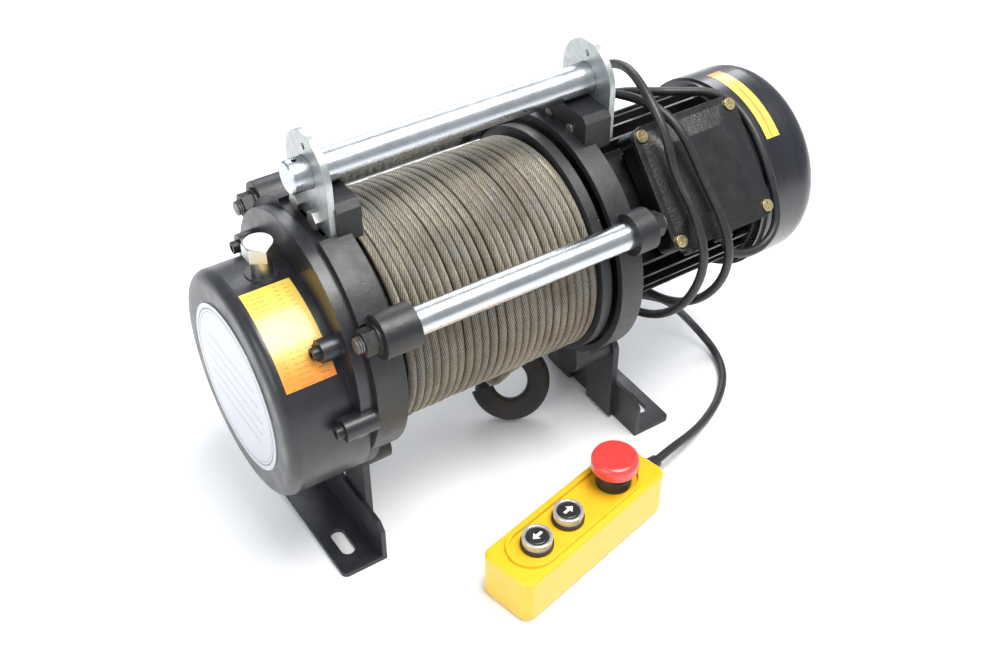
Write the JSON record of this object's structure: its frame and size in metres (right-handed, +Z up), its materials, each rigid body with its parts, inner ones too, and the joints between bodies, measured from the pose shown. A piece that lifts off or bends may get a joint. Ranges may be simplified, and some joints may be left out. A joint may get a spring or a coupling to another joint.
{
  "type": "electric wire rope hoist",
  "caption": "Electric wire rope hoist: motor, gearbox, rope drum between end plates, hanger bar, slotted feet, hook and pendant control.",
  "frame": {"origin": "centre of the four foot slots, on the plane that the feet stand on", "axes": "+Y along the drum's axis from the gearbox to the motor, +X to the front where the terminal box and pendant are, +Z up"},
  "size_m": [0.3125, 0.5156, 0.366],
  "materials": {
    "black_castings": "satin black enamel over rough castings",
    "black_fan_cover": "smooth semi-gloss black enamel on pressed steel",
    "bright_zinc": "bright zinc plate",
    "galvanized": "dull galvanized steel",
    "black_fasteners": "black oxide",
    "yellow_zinc": "yellow passivated zinc",
    "machined_steel": "machined and oiled",
    "greased_rope": "greased steel wire",
    "aluminium_ferrule": "pressed, matt",
    "forged_black": "black forging",
    "latch_steel": "zinc plate",
    "silver_plate": "silver-white foil, blank",
    "yellow_label": "blank yellow film",
    "laminations": "stacked sheet steel",
    "copper_windings": "enamelled copper",
    "fan_plastic": "moulded",
    "black_rubber": "matt black rubber",
    "black_plastic": "moulded black plastic",
    "clear_rims": "clear plastic rims",
    "yellow_shell": "moulded yellow plastic",
    "zinc_screws": "zinc plate",
    "red_mushroom": "gloss red plastic"
  },
  "bodies": {
    "hoist_frame": {"left_end_plate": "black_castings", "right_end_plate": "black_castings", "tie_rods": "bright_zinc", "tie_rod_nuts": "black_fasteners", "hanger_plates": "galvanized", "hanger_bar": "bright_zinc", "hanger_bolts": "galvanized", "feet": "black_castings", "foot_bolts": "black_fasteners", "gear_cover": "black_castings", "gaskets": "black_rubber", "cover_screws": "black_fasteners", "oil_plug": "galvanized", "nameplate": "silver_plate", "blank_labels": "yellow_label", "shaft_bearings": "machined_steel", "shaft_seal": "black_rubber", "drum_bearing_left": "machined_steel", "rope_tail": "greased_rope", "rope_loop": "greased_rope", "rope_ferrule": "aluminium_ferrule", "motor_body": "black_castings", "front_bell": "black_castings", "rear_bell": "black_castings", "bell_screws": "black_fasteners", "stator": "laminations", "stator_windings": "copper_windings", "brake_coil": "copper_windings", "fan_cover": "black_fan_cover", "terminal_box": "black_castings", "box_lid": "black_castings", "lid_screws": "yellow_zinc", "box_glands": "black_plastic", "control_cable": "black_rubber", "pendant_gland": "black_plastic", "pendant_base": "yellow_shell", "pendant_top": "yellow_shell", "pendant_screws": "zinc_screws", "button_bezels": "black_plastic", "button_rims": "clear_rims", "switch_blocks": "black_plastic", "estop_collar": "black_plastic"},
    "rope_drum": {"drum": "black_castings", "drum_shaft": "machined_steel", "drum_gear": "machined_steel", "drum_bearing_right": "machined_steel", "rope_winding": "greased_rope"},
    "layshaft": {"layshaft": "machined_steel", "layshaft_gear": "machined_steel"},
    "motor_shaft": {"input_shaft": "machined_steel", "input_pinion": "machined_steel", "rotor": "laminations", "brake_disc": "machined_steel", "fan": "fan_plastic"},
    "load_hook": {"hook": "forged_black", "latch_pin": "latch_steel"},
    "safety_latch": {"hook_latch": "latch_steel"},
    "down_button": {"down_button": "black_plastic"},
    "up_button": {"up_button": "black_plastic"},
    "emergency_stop": {"estop_head": "red_mushroom"}
  },
  "joints": [
    {"name": "drum_spin", "type": "hinge", "parent": "hoist_frame", "child": "rope_drum", "pos_m": [0, 0, 0.198], "axis": [0, 1, 0], "continuous": true},
    {"name": "layshaft_spin", "type": "hinge", "parent": "hoist_frame", "child": "layshaft", "pos_m": [0, -0.165, 0.144], "axis": [0, 1, 0], "continuous": true},
    {"name": "motor_spin", "type": "hinge", "parent": "hoist_frame", "child": "motor_shaft", "pos_m": [0, 0.1, 0.198], "axis": [0, 1, 0], "continuous": true},
    {"name": "hook_swing", "type": "hinge", "parent": "hoist_frame", "child": "load_hook", "pos_m": [-0.06881, 0.02989, 0.0637], "axis": [0.0582, -0.8118, -0.581], "range_deg": [-60, 6]},
    {"name": "latch_swing", "type": "hinge", "parent": "load_hook", "child": "safety_latch", "pos_m": [-0.03645, 0.04851, 0.04436], "axis": [0.6313, -0.4209, 0.6514], "range_deg": [0, 50], "stiffness_Nm_per_rad": 0.02},
    {"name": "down_press", "type": "slide", "parent": "hoist_frame", "child": "down_button", "axis": [0, 0, -1], "range_m": [0, 0.004], "stiffness_N_per_m": 400},
    {"name": "up_press", "type": "slide", "parent": "hoist_frame", "child": "up_button", "axis": [0, 0, -1], "range_m": [0, 0.004], "stiffness_N_per_m": 400},
    {"name": "estop_press", "type": "slide", "parent": "hoist_frame", "child": "emergency_stop", "axis": [0, 0, -1], "range_m": [0, 0.003], "stiffness_N_per_m": 600}
  ],
  "couplings": [
    {"joint": "layshaft_spin", "follows": "drum_spin", "ratio": -3.5},
    {"joint": "motor_spin", "follows": "drum_spin", "ratio": 17.5}
  ]
}
